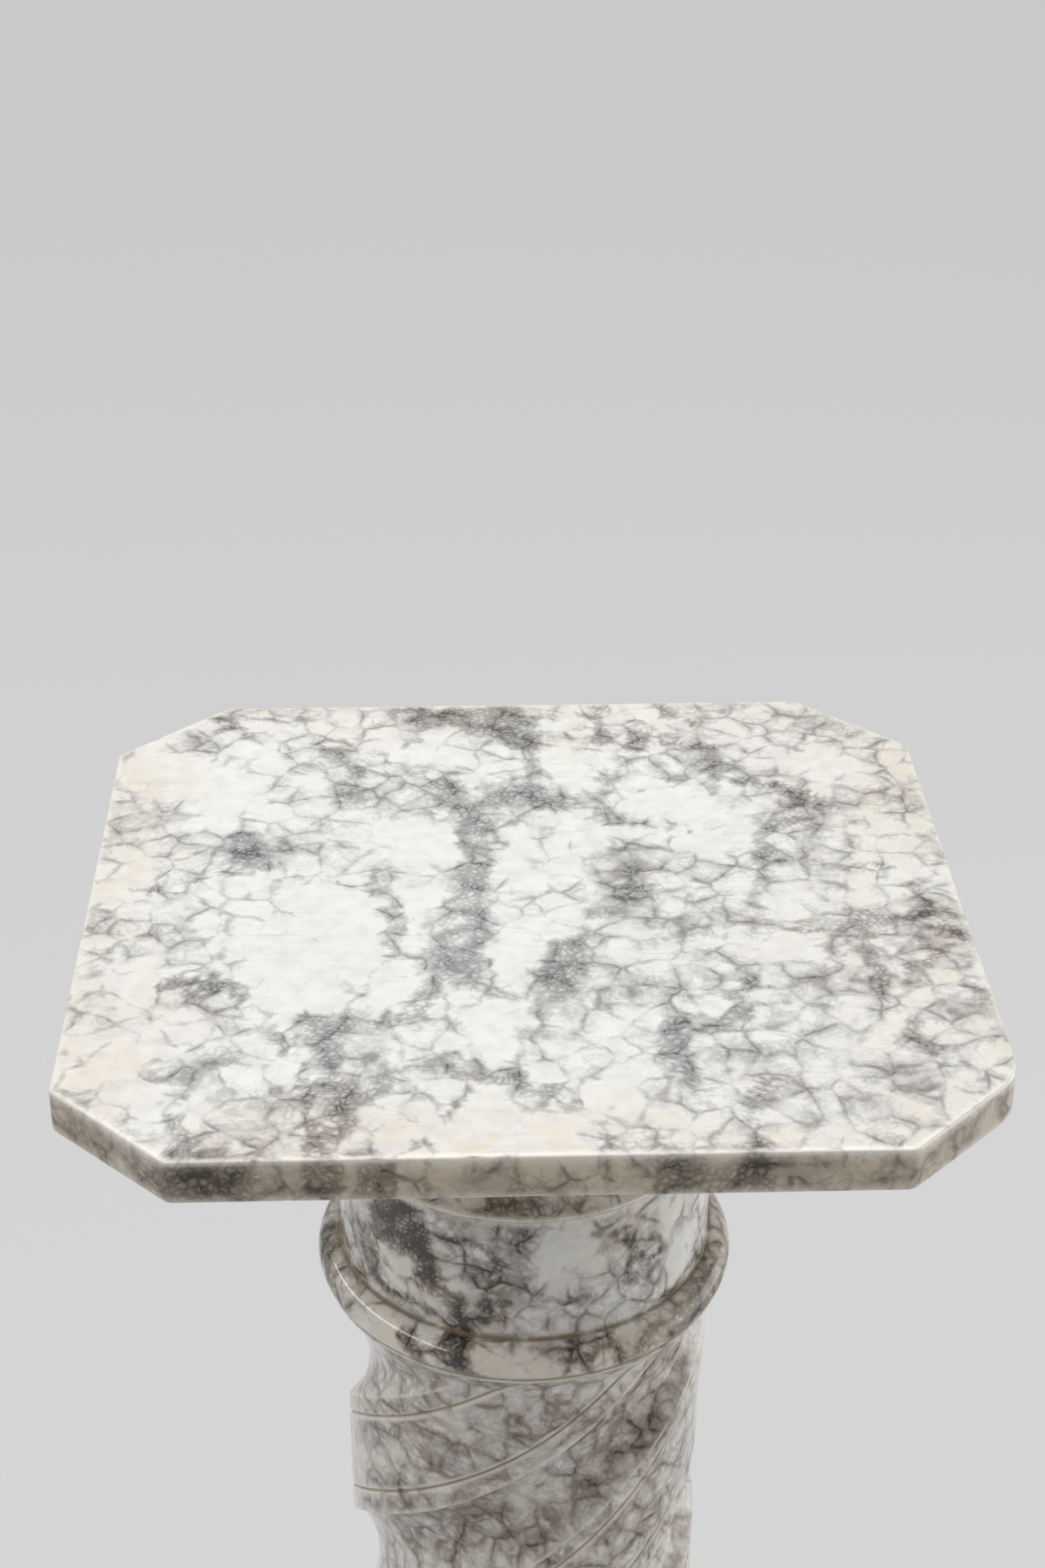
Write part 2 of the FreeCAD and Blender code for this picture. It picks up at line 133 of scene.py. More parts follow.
def aging(section, bend):
    """How dirty, and how rubbed and highlit, each point of a section is. Tight hollows gather dirt and tight
    edges are rubbed, by a smooth step of the bend in radians per metre; the rubbed mark is later painted
    pale, partly as wear and partly as a highlight. Each point takes the greatest mark near it, which fades by
    exp(-(gap / spread)^2)."""
    spread = 0.9 * MM
    gap = np.linalg.norm(section[:, None] - section[None], axis=-1)
    nearness = np.exp(-((gap / spread) ** 2))
    dirt = (nearness * step(-bend, 180, 600)).max(1)
    worn_and_highlit = (nearness * step(bend, 250, 700)).max(1)
    return dirt, worn_and_highlit


def chipped(points, worn_and_highlit, depth, seed):
    """Points drawn in towards the axis by chips along rubbed edges, where two ripples of unlike sizes crest
    together, and by the slight unevenness of stone that was worked by hand."""
    bites = step(ripple(points, 6 * MM, seed) + 0.7 * ripple(points, 2.5 * MM, seed + 1), 1.1, 2.2)
    hand = 0.07 * MM
    uneven = (1 + ripple(points, 45 * MM, seed + 2)) * hand
    radius = np.hypot(points[..., 0], points[..., 1]).clip(1 * MM)
    inward = (bites * worn_and_highlit * depth + uneven) / radius
    return points * np.stack([1 - inward, 1 - inward, np.ones(inward.shape)], -1)


def skin(name, points, closed, **marks):
    """A mesh over a grid of points, whose columns run round the piece and join up. Its rows join up too
    where it is closed, and otherwise its first and last rows each shrink to one point. Marks are numbers
    for each point that its material reads by name."""
    rows, columns = points.shape[:2]
    grid = np.arange(rows * columns).reshape(rows, columns)
    places = points.reshape(-1, 3)
    below = np.roll(grid, -1, 0) if closed else grid[1:]
    above = grid if closed else grid[:-1]
    faces = np.stack([above, below, np.roll(below, -1, 1), np.roll(above, -1, 1)], -1).reshape(-1, 4)
    mesh = bpy.data.meshes.new(name)
    if closed:
        mesh.from_pydata(places, [], faces.tolist())
    else:
        first, last = columns - 1, columns * (rows - 1)
        top = np.stack([np.full(columns, first), grid[1], np.roll(grid[1], -1)], -1)
        bottom = np.stack([grid[-2], np.full(columns, last), np.roll(grid[-2], -1)], -1)
        middle = faces[columns:-columns]
        used = slice(first, last + 1)
        pieces = (top - first).tolist() + (middle - first).tolist() + (bottom - first).tolist()
        mesh.from_pydata(places[used], [], pieces)
    for mark, values in marks.items():
        values = np.broadcast_to(values, (rows, columns)).reshape(-1)
        values = values if closed else values[used]
        mesh.attributes.new(mark, "FLOAT", "POINT").data.foreach_set("value", values.astype(np.float32))
    mesh.shade_smooth()
    return bpy.data.objects.new(name, mesh)


def fit(piece, node, finish):
    """Puts a piece in its node's place, with a finish, and hides the node's own part."""
    bpy.context.collection.objects.link(piece)
    piece.data.materials.append(finish.material)
    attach(piece, "root")
    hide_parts(node)


def operator(operation, swapped=False):
    """A method that adds the Math node of an operation on a signal and another value."""
    def method(self, other=0.0):
        pair = (other, self) if swapped else (self, other)
        return self.finish.add("ShaderNodeMath", {"operation": operation}, dict(enumerate(pair)))
    return method


class Signal:
    """A node's output that takes part in sums: 1 - mask adds the Math node that works it out."""

    def __init__(self, finish, socket):
        self.finish = finish
        self.socket = socket

    __add__ = __radd__ = operator("ADD")
    __sub__ = operator("SUBTRACT")
    __rsub__ = operator("SUBTRACT", swapped=True)
    __mul__ = __rmul__ = operator("MULTIPLY")
    most = operator("MAXIMUM")
    least = operator("MINIMUM")
    size = operator("ABSOLUTE")

    def between(self, low, high):
        """A smooth step from 0 at low to 1 at high, which falls where low is the higher."""
        sockets = {"Value": self, "From Min": low, "From Max": high}
        return self.finish.add("ShaderNodeMapRange", {"interpolation_type": "SMOOTHSTEP"}, sockets)


class Nodes:
    """A node tree in the making."""

    def __init__(self, tree):
        self.tree = tree

    def join(self, value, socket):
        """Links a signal to a socket, or sets a plain value on it."""
        if isinstance(value, Signal):
            self.tree.links.new(value.socket, socket)
        else:
            socket.default_value = value

    def add(self, kind, settings=None, sockets=None, out=0):
        """A node of a kind: its settings first, then its sockets' values or links. Returns one output."""
        node = self.tree.nodes.new(kind)
        for name, value in (settings or {}).items():
            setattr(node, name, value)
        for name, value in (sockets or {}).items():
            self.join(value, node.inputs[name])
        return Signal(self, node.outputs[out])


class Finish(Nodes):
    """A material in the making. Its place is in millimetres, and its cut moves that to the stone's own part
    of the quarry block."""

    def __init__(self, name, cut=(0, 0, 0)):
        self.material = bpy.data.materials.new(name)
        self.material.use_nodes = True
        super().__init__(self.material.node_tree)
        self.shader = self.tree.nodes["Principled BSDF"]
        own = self.add("ShaderNodeTexCoord", out="Object")
        block = {"Vector": own, "Location": cut, "Scale": (1 / MM, 1 / MM, 1 / MM)}
        self.place = self.add("ShaderNodeMapping", {}, block)

    def mark(self, name):
        """A number that the mesh carries at each point."""
        return self.add("ShaderNodeAttribute", {"attribute_name": name}, out="Fac")

    def noise(self, place, size, detail=3.0, rough=0.5, out=0):
        """Cloudy noise from 0 to 1, whose lumps are about one size in millimetres."""
        sockets = {"Vector": place, "Scale": 1 / size, "Detail": detail, "Roughness": rough}
        return self.add("ShaderNodeTexNoise", {}, sockets, out)

    def cracks(self, place, size):
        """How far a point is from the nearest wall between random cells of a size, in millimetres."""
        sockets = {"Vector": place, "Scale": 1 / size}
        return self.add("ShaderNodeTexVoronoi", {"feature": "DISTANCE_TO_EDGE"}, sockets) * size

    def drift(self, place, size, reach, detail=3.0):
        """A place pushed about by noise of a size, by up to about half the reach each way."""
        push = self.noise(place, size, detail, out="Color")
        reaches = {0: push, 1: (reach, reach, reach), 2: place}
        return self.add("ShaderNodeVectorMath", {"operation": "MULTIPLY_ADD"}, reaches)

    def blend(self, under, over, share, mode="MIX"):
        """One colour laid over another by a share."""
        sockets = {0: share, 6: under, 7: over}
        return self.add("ShaderNodeMix", {"data_type": "RGBA", "blend_type": mode}, sockets, out=2)

    def finished(self, colour, roughness, height, depth):
        """Sets the shader: colour, roughness, and relief from a height in units of a depth in metres."""
        relief = {"Strength": 1.0, "Distance": depth, "Height": height}
        self.join(colour, self.shader.inputs["Base Color"])
        self.join(roughness, self.shader.inputs["Roughness"])
        self.join(self.add("ShaderNodeBump", {}, relief), self.shader.inputs["Normal"])


# The marble's colours, from its clear ground to its darkest veins, and those that its age lays over them.
WHITE = (0.845, 0.848, 0.835, 1)
CREAM = (0.775, 0.72, 0.61, 1)
HAZE = (0.56, 0.555, 0.54, 1)
GREY = (0.32, 0.32, 0.33, 1)
UMBER = (0.27, 0.215, 0.16, 1)
DARK = (0.022, 0.019, 0.017, 1)
STAIN_AND_SHADE = (0.84, 0.77, 0.67, 1)
DIRT = (0.22, 0.165, 0.085, 1)
RUBBED_AND_HIGHLIT = (0.86, 0.83, 0.76, 1)


def marble(
    name,
    cut,
    lump=12.0,
    netted=0.5,
    uneven=1.8,
    bold=0.6,
    hazy=0.3,
    veined=0.0,
    cream=0.3,
    umber=0.3,
    gloss=0.16,
    scratched=0.0,
):
    """A breccia marble: white lumps of a size in millimetres, with dark vein matter in the walls between
    them. A crowd says how much matter a place holds: netted, plus uneven times a broad noise, plus what the
    mesh's own marks and the folds add. As it rises, the walls show as wide lines, then closer webs and curls
    join them, and then the place fills up between finest lines. A cloud thins the lines, a halo and a haze
    soften them, each lump has its own tone, and a grain roughens all. The sum of these, the matter, picks
    the colour, from white or cream ground through haze and grey or umber to nearly black. Bold, hazy, veined,
    cream, umber and scratched are shares of their kind, and gloss is the roughness of the clean polish."""
    stone = Finish(name, cut)
    place = stone.place
    bent = stone.drift(place, 22, 12, 2)
    frayed = stone.drift(bent, 2.5, 1.0, 0)
    broad = stone.noise(bent, 30, 3, 0.55)
    cloud = stone.noise(place, 10, 2, 0.55)
    smear = stone.noise(place, 7, 2, 0.6)
    sand = stone.noise(place, 1.3, 3, 0.65) - 0.5
    stained_and_shaded = stone.mark("stain_and_shade")
    warm = (stone.noise(place, 60, 1).between(0.38, 0.62) * cream + stone.mark("aged")).least(1.0)

    # the crowd: below 0 a place is clear, and above 1 it is solid
    zone = stone.mark("vein")
    if veined:
        folds = (stone.noise(bent, 95, 3, 0.6) - 0.5).size().between(0.06, 0.0)
        zone = zone.most(folds * broad.between(0.40, 0.58) * veined)
    # The calm mark clears the ground of matter: for clear white lumps, and on the drum also for one painted
    # pool of light.
    crowd = (broad - 0.5) * uneven + netted + zone * 0.6 - stone.mark("calm_and_lit") * 0.6 + stained_and_shaded * 0.25

    # the lines
    gap = stone.cracks(frayed, lump)
    wide = gap.between(lump * 0.11, 0.0) * crowd.between(-0.2, 0.6)
    close = stone.cracks(frayed, lump * 0.45)
    webs = close.between(lump * 0.07, 0.0) * crowd.between(0.2, 0.9) * 0.7
    curls = (stone.noise(frayed, lump * 0.6, 2, 0.55) - 0.5).size()
    curls = curls.between(0.06, 0.0) * crowd.between(-0.1, 0.8) * 0.55
    lines = wide.most(curls).most(webs) * (cloud.between(0.36, 0.62) * 0.8 + 0.2) * bold

    # what lies around and between them
    halo = gap.between(lump * 0.3, 0.0) * crowd.between(0.15, 0.9) * 0.2
    finest = stone.cracks(frayed, lump * 0.2).between(lump * 0.08, 0.0) - 0.5
    filled = crowd.between(0.95, 1.7) * 0.45 + finest * crowd.between(0.5, 1.1) * 0.5
    matter = lines.most(crowd.between(0.45, 1.2) * 0.45) + halo + filled
    haze = (gap.between(lump * 0.45, 0.0) + close.between(lump * 0.2, 0.0)) * hazy * 0.5
    tone = stone.add("ShaderNodeTexVoronoi", {}, {"Vector": frayed, "Scale": 1 / lump}, "Color") - 0.5
    matter = matter + (haze + tone * 0.3) * crowd.between(-0.2, 0.8)
    matter = matter + (cloud - 0.58) * 0.6 + sand * (0.35 + matter.least(0.6) * 0.6)

    # the colour that the matter picks
    ground = stone.blend(WHITE, CREAM, (cloud.between(0.62, 0.36) * 0.6 + 0.4) * warm)
    ground = stone.blend(ground, HAZE, smear.between(0.35, 0.75) * 0.35)
    tint = stone.blend(GREY, UMBER, (warm * 0.8 + umber).least(1.0))
    veil = stone.blend(HAZE, tint, 0.15 + warm * 0.15)
    colour = stone.blend(ground, veil, matter.between(0.02, 0.42) * 0.8)
    colour = stone.blend(colour, tint, matter.between(0.32, 0.80) * 0.8)
    colour = stone.blend(colour, DARK, matter.between(0.70, 1.5) * 0.94)

    # age: two runs of fine scratches, a stain and painted shade on unpolished sides, dirt in crevices, and
    # rubbed edges painted pale, partly as a highlight
    if scratched:
        for turn in (0.5, 2.5):
            drawn_out = {"Vector": place, "Rotation": (0, 0, turn), "Scale": (0.035, 1.6, 0.1)}
            hairs = stone.noise(stone.add("ShaderNodeMapping", {}, drawn_out), 1, 1).between(0.70, 0.76)
            colour = stone.blend(colour, HAZE, hairs * scratched)
    # a warm darkening, partly a real stain and partly painted shade, on the plate's sides and underside, the
    # bead's right and front, and the plinth's lowest edge
    colour = stone.blend(colour, STAIN_AND_SHADE, stained_and_shaded, "MULTIPLY")
    dirt = (stone.mark("dirt") * (smear * 2.6 - 0.35)).most(0.0).least(1.0)
    colour = stone.blend(colour, DIRT, dirt * 0.85)
    # rubbed edges painted pale: partly their real wear and partly a painted highlight along every tight
    # convex edge
    colour = stone.blend(colour, RUBBED_AND_HIGHLIT, stone.mark("worn_and_highlit") * smear.between(0.25, 0.55) * 0.75)

    polish = gloss + (smear - 0.5) * 0.08 + dirt * 0.45 + stained_and_shaded * 0.25
    pits = stone.noise(place, 0.9, 1).between(0.62, 0.74) * -0.5 + smear * 0.8
    stone.finished(colour, polish, pits, 0.05 * MM)
    depths = {
        "IOR": 1.5,
        "Coat Weight": 0.25,
        "Coat Roughness": 0.07,
        "Subsurface Weight": 0.12,
        "Subsurface Radius": (1.0, 0.85, 0.6),
        "Subsurface Scale": 3 * MM,
    }
    for socket, value in depths.items():
        stone.join(value, stone.shader.inputs[socket])
    return stone


def streaked(flat, lines, stray, seed, keen=4):
    """How veined each spot of a flat map is: over all the strokes, the greatest of strength times
    exp(-(gap / (1.2 x width)) ^ keen), with the gap to the stroke and its half width. The keener, the
    flatter is the middle and the crisper the edge. The spots first stray by smooth noise, so that no stroke
    stays straight. A stroke is its strength, its half width and its stops, in millimetres."""
    push = np.stack([ripple(flat, 14 * MM, seed), ripple(flat, 14 * MM, seed + 1)], -1)
    finer = np.stack([ripple(flat, 5 * MM, seed + 2), ripple(flat, 5 * MM, seed + 3)], -1)
    flat = flat + (push + 0.5 * finer) * stray
    veined = np.zeros(flat.shape[:-1])
    for strength, width, *stops in lines:
        stops = np.array(stops) * MM
        for start, end in zip(stops[:-1], stops[1:]):
            run = end - start
            way = np.clip(((flat - start) @ run) / (run @ run), 0, 1)
            gap = np.linalg.norm(flat - start - way[..., None] * run, axis=-1)
            veined = np.maximum(veined, strength * np.exp(-((gap / (1.2 * width * MM)) ** keen)))
    return veined


# The plate's rim is an octagon. Two of its corners, at the right, have been knocked round.
low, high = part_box("top_plate")
half_side = high.x
sawn = 38.5 * MM
inner = half_side - sawn
rim_corners = [(half_side, -inner), (half_side, inner), (inner, half_side), (-inner, half_side)]
rim_corners += [(-right, -far) for right, far in rim_corners]
rim_columns = 560
rim, _ = thinned(outline(rim_corners), rim_columns, 1.2 * MM, 0)
knocked, _ = thinned(outline(rim_corners), rim_columns, 9 * MM, 0)
from_near_corner = np.hypot(*(rim - (half_side, -inner)).T)
from_far_corner = np.hypot(*(rim - (half_side, inner)).T)
near_share = step(from_near_corner, 30 * MM, 12 * MM)
far_share = step(from_far_corner, 26 * MM, 10 * MM) * 0.6
share = np.maximum(near_share, far_share)[:, None]
plate_rim = rim * (1 - share) + knocked * share


def squared(section, rim, round_to):
    """The rows of a slab from its section. A ring is round within a radius, and beyond it each ring widens
    evenly towards the rim, but for a narrow border, which follows the rim at a fixed distance."""
    border = 5 * MM
    reach = section[:, 0].max()
    rim_radius = np.hypot(*rim.T)
    share = np.clip((section[:, 0] - round_to) / (reach - border - round_to), 0, 1)[:, None]
    radii = section[:, :1] + share * (rim_radius - reach)
    levels = np.broadcast_to(section[:, 1:], radii.shape)
    return np.concatenate([radii[:, :, None] * (rim / rim_radius[:, None]), levels[:, :, None]], 2)


# Its section runs across the whole slab, so that the middle of the top stays flat, and half of it is kept.
socket_radius = 9 * MM
socket_top = low.z + 8 * MM
across_plate = [
    (-socket_radius, socket_top),
    (socket_radius, socket_top),
    (socket_radius, low.z),
    (half_side, low.z),
    (half_side, high.z),
    (-half_side, high.z),
    (-half_side, low.z),
    (-socket_radius, low.z),
]
section, bend = thinned(outline(across_plate), 300, 1.2 * MM)
dirt, worn_and_highlit = aging(section, bend)
kept = section[:, 0] > 0.7 * MM
section, dirt, worn_and_highlit = section[kept][::-1], dirt[kept][::-1, None], worn_and_highlit[kept][::-1, None]
section[0, 0] = section[-1, 0] = 0
plate_points = squared(section, plate_rim, 12 * MM)
left_edge = step(-plate_points[:, :, 0], 100 * MM, 140 * MM)
chip_depth = 1.8 * MM
plate_points = chipped(plate_points, worn_and_highlit * (0.4 + 0.9 * left_edge), chip_depth, 5)

# Its main veins and its clear white lumps, one by one: strength, half width, then points across and away.
strokes = [
    (1.0, 5.0, (-26, 80), (-20, 62), (-17, 45), (-16, 25), (-18, 8), (-19, -5), (-17, -22), (-18, -42)),
    (0.8, 2.2, (-44, 100), (-34, 90), (-26, 78)),
    (0.9, 4.5, (-20, 62), (-10, 70), (2, 76), (12, 70)),
    (0.9, 3.8, (7, 120), (6, 105), (5, 90), (7, 76)),
    (0.8, 3.0, (7, 76), (16, 66), (27, 63), (34, 53)),
    (1.2, 7.0, (-40, 148), (-33, 137), (-24, 142), (-14, 134), (-6, 142), (2, 133)),
    (0.9, 3.5, (-10, 128), (-2, 122), (3, 114)),
    (0.9, 1.6, (2, 143), (16, 140), (27, 140), (40, 142)),
    (0.9, 1.8, (34, 148), (33, 132), (33, 116)),
    (0.7, 1.4, (14, 121), (25, 127), (35, 134)),
    (1.0, 3.0, (50, 134), (50, 124), (46, 112)),
    (0.5, 2.5, (40, 100), (36, 92), (34, 85)),
    (1.1, 2.0, (56, 150), (60, 142), (66, 134), (69, 130)),
    (0.9, 1.8, (60, 118), (65, 110)),
    (0.9, 3.2, (73, 112), (76, 98), (74, 88), (73, 76), (77, 63)),
    (1.1, 3.0, (82, 84), (92, 80), (100, 74), (107, 72)),
    (0.9, 2.0, (107, 72), (113, 64), (118, 58)),
    (0.7, 1.5, (47, 76), (56, 78), (67, 74)),
    (0.8, 2.0, (42, 53), (55, 51), (62, 46), (74, 51)),
    (0.9, 2.8, (104, 52), (93, 51), (86, 43), (86, 32), (84, 22)),
    (0.7, 3.0, (84, 22), (81, 8), (78, -8), (77, -28)),
    (0.45, 5.5, (36, 36), (44, 28), (38, 18)),
    (0.55, 4.5, (46, 6), (36, 0), (29, -8), (26, -16)),
    (0.8, 5.5, (20, -24), (12, -34), (9, -46), (8, -56), (4, -68)),
    (1.0, 3.5, (102, -36), (106, -20), (118, -18), (128, -18), (138, -10)),
    (0.9, 2.5, (114, -20), (113, -32), (112, -44), (116, -56), (114, -66)),
    (0.9, 2.2, (124, -60), (126, -50), (133, -46), (138, -38)),
    (1.1, 3.2, (140, -24), (147, -30)),
    (1.0, 2.6, (143, -60), (148, -68)),
    (0.9, 2.4, (140, 12), (135, 4), (138, -4)),
    (0.7, 1.6, (115, 16), (120, 22), (127, 18), (128, 8)),
    (0.8, 1.8, (88, -24), (98, -24), (104, -27)),
    (1.0, 3.2, (45, -80), (43, -92), (45, -104), (47, -114)),
    (1.0, 2.4, (52, -84), (61, -80), (67, -74), (67, -64), (73, -54), (72, -47)),
    (0.8, 1.8, (72, -71), (80, -70)),
    (1.0, 3.0, (120, -84), (122, -92), (125, -98)),
    (1.0, 1.8, (72, -114), (66, -122), (62, -130)),
    (0.9, 3.4, (-53, 14), (-49, 2), (-45, -12), (-44, -26), (-48, -40)),
    (0.9, 5.0, (-20, 6), (-26, -14), (-28, -30), (-30, -46), (-34, -58)),
    (0.6, 8.0, (-36, -38), (-28, -50), (-22, -40)),
    (0.9, 1.8, (-48, -40), (-52, -52), (-58, -64), (-62, -78)),
    (0.9, 2.6, (-34, -58), (-38, -70), (-47, -78)),
    (1.0, 4.6, (-72, -74), (-66, -88), (-65, -102), (-60, -114), (-58, -124), (-66, -140), (-66, -152)),
    (1.0, 1.6, (-75, -84), (-74, -96), (-73, -106)),
    (1.1, 1.2, (-71, -108), (-70, -124), (-69, -150)),
    (1.0, 2.4, (-58, -122), (-50, -113), (-45, -104), (-36, -102), (-28, -98)),
    (1.2, 3.2, (-28, -98), (-20, -103), (-16, -110), (-8, -108)),
    (1.0, 1.8, (-8, -108), (1, -118), (11, -124), (19, -136), (20, -150)),
    (0.9, 1.3, (-17, -110), (-24, -120), (-30, -132), (-35, -150)),
    (0.6, 5.5, (-116, -98), (-108, -104), (-108, -114)),
    (0.9, 2.2, (-114, -120), (-112, -128), (-104, -138)),
    (1.0, 1.8, (-122, -54), (-116, -49), (-108, -42)),
    (1.0, 1.8, (-112, -50), (-112, -58), (-106, -57), (-102, -50)),
    (1.0, 1.4, (-101, -46), (-98, -56), (-93, -64), (-86, -70), (-84, -80), (-78, -92)),
    (0.7, 2.6, (-92, -78), (-86, -80)),
    (1.0, 5.0, (-99, 44), (-97, 34), (-94, 26)),
    (0.8, 2.2, (-92, 36), (-84, 36)),
    (1.0, 1.2, (-100, 22), (-110, 17), (-119, 9), (-130, 8), (-138, 10)),
    (0.9, 4.0, (-62, 84), (-62, 76), (-64, 70)),
    (0.9, 1.6, (-62, 92), (-64, 104), (-75, 116)),
    (1.1, 1.6, (-119, 144), (-108, 139), (-98, 140), (-88, 137)),
    (1.0, 1.3, (-115, 129), (-106, 134), (-98, 138)),
    (0.7, 1.3, (-53, 14), (-60, 11), (-70, 10), (-72, 18)),
    (0.7, 1.2, (-28, 63), (-34, 64), (-40, 61)),
    (0.9, 1.2, (-150, -18), (-144, -13), (-139, -9)),
    (1.0, 6.0, (-104, -149), (-94, -154)),
    (0.9, 4.0, (-52, -146), (-46, -152)),
    (0.9, 3.0, (38, -146), (40, -154)),
    (0.9, 5.0, (66, -147), (62, -154)),
]
clear_lumps = [
    (1.0, 26, (-66, -12), (-70, -38)),
    (1.0, 13, (-38, 48), (-36, 36)),
    (0.9, 18, (-118, 88), (-110, 74)),
    (0.9, 12, (-18, -72), (-16, -88)),
    (1.0, 15, (52, 66), (66, 62)),
    (0.6, 13, (34, -112), (30, -122)),
    (0.65, 20, (-22, -132), (4, -130)),
    (0.9, 9, (20, 52), (28, 42)),
    (0.9, 8, (88, -34), (94, -36)),
    (0.9, 10, (106, 98), (120, 94)),
    (0.8, 12, (-28, 108), (-30, 122)),
    (0.8, 9, (-102, 112), (-98, 104)),
    (0.8, 8, (18, 104), (22, 90)),
    (0.8, 8, (48, 142), (54, 138)),
    (0.8, 8, (14, 130), (22, 132)),
    (0.9, 9, (-36, -4), (-38, 6)),
    (0.8, 10, (0, 30), (-2, 16)),
    (0.8, 9, (88, -10), (96, -6)),
    (0.8, 14, (-134, -106), (-124, -96)),
    (0.7, 12, (-132, -52), (-128, -44)),
    (0.8, 9, (-4, -36), (-8, -44)),
    (0.9, 12, (-140, 130), (-128, 134)),
]
flat = plate_points[:, :, :2]
vein = streaked(flat, strokes, 2.4 * MM, 11)
calm_and_lit = streaked(flat, clear_lumps, 2.5 * MM, 31, keen=2)

# It has yellowed in a wavering border along the rim and over its right side, and its sawn sides and underside
# are stained and darkened with painted shade.
aside, away = np.abs(flat[:, :, 0]), np.abs(flat[:, :, 1])
corner_gap = (2 * half_side - sawn - aside - away) / np.sqrt(2)
rim_gap = np.minimum(np.minimum(half_side - aside, half_side - away), corner_gap)
yellow_border = step(rim_gap + 14 * MM * ripple(flat, 60 * MM, 21), 44 * MM, 2 * MM) * 0.7
yellow_side = step(flat[:, :, 0], 40 * MM, 130 * MM) * 0.4
aged = np.maximum(yellow_border, yellow_side)
stain_and_shade = step(high.z - plate_points[:, :, 2], 1.0 * MM, 3.0 * MM)
marks = {"vein": vein, "calm_and_lit": calm_and_lit, "aged": aged, "stain_and_shade": stain_and_shade, "dirt": dirt, "worn_and_highlit": worn_and_highlit}
plate = skin("top_plate_stone", plate_points, False, **marks)
plate_marble = marble(
    "plate_marble", (0, 0, 0), lump=13, netted=0.48, cream=0.2, umber=0.05, gloss=0.24, scratched=0.7
)
fit(plate, "top_plate", plate_marble)


# The capital under the plate: turned from the same marble. From its neck, flush with the drum below, a
# hollow sweeps out over a step and a quarter round to a wide rim. Its top is sunk for the rod's upper nut
# and washer, and has a shallow dish for the plaster that the plate beds in.
def lathed(corners, rows, wear, seed, columns=288):
    """The points of a turned stone from the corners of its section, and how dirty, and how rubbed and
    highlit, each of its rings is."""
    section, bend = thinned(outline(corners), rows, wear)
    section, bend = section[::-1], bend[::-1]
    dirt, worn_and_highlit = aging(section, bend)
    turn = np.linspace(-np.pi, np.pi, columns, endpoint=False)
    way = np.stack([np.cos(turn), np.sin(turn)], 1)
    levels = np.broadcast_to(section[:, None, 1:], (rows, columns, 1))
    points = np.concatenate([section[:, None, :1] * way, levels], 2)
    return chipped(points, worn_and_highlit[:, None], 0.9 * MM, seed), {"dirt": dirt[:, None], "worn_and_highlit": worn_and_highlit[:, None]}


def around(points, radius, foot):
    """A flat map of a turned stone: the distance round it, from its right side, and the height up from
    its foot."""
    turn = np.arctan2(points[..., 1], points[..., 0])
    return np.stack([turn * radius, points[..., 2] - foot], -1)


def bearings(strokes, radius):
    """Strokes whose stops are degrees round and millimetres up, in millimetres both ways."""
    scale = np.array([np.radians(1) * radius / MM, 1])
    return [(strength, width, *np.array(stops) * scale) for strength, width, *stops in strokes]


low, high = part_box("capital")
bore = 9 * MM
drum_radius = 67.5 * MM
neck_radius = drum_radius - 8 * MM
neck_lip = 1.5 * MM
neck_height = 10 * MM
dish = 1.5 * MM
ledge = 16 * MM
capital_radius = high.x
step_radius = capital_radius - 29 * MM
step_top = high.z - 29 * MM
fillet = 5 * MM
wide_dish = capital_radius - ledge
upper_recess = 22 * MM
recess_floor = high.z - 20.5 * MM
corners = [
    (bore, low.z),
    (drum_radius, low.z),
    (drum_radius, low.z + neck_lip, -2.4 * MM),
    (neck_radius, low.z + neck_height, -8 * MM),
    (step_radius, step_top - fillet),
    (step_radius, step_top),
    (step_radius + fillet, step_top, 7 * MM),
    (capital_radius, high.z - fillet),
    (capital_radius, high.z),
    (wide_dish, high.z),
    (wide_dish, high.z - dish),
    (upper_recess, high.z - dish),
    (upper_recess, recess_floor),
    (bore, recess_floor),
]
points, marks = lathed(corners, 250, 0.4 * MM, 41)
flat = around(points, drum_radius, low.z)
neck_stroke = (1.4, 2.2, (-102, 4), (-88, 3.5))
marks["vein"] = streaked(flat, bearings([neck_stroke], drum_radius), 1.0 * MM, 45)
marks["aged"] = 0.7
capital = skin("capital_stone", points, True, **marks)
capital_marble = marble(
    "capital_marble", (310, 40, -75), netted=0.25, bold=0.8, veined=0.5, cream=0.8, umber=0.6, gloss=0.14
)
fit(capital, "capital", capital_marble)
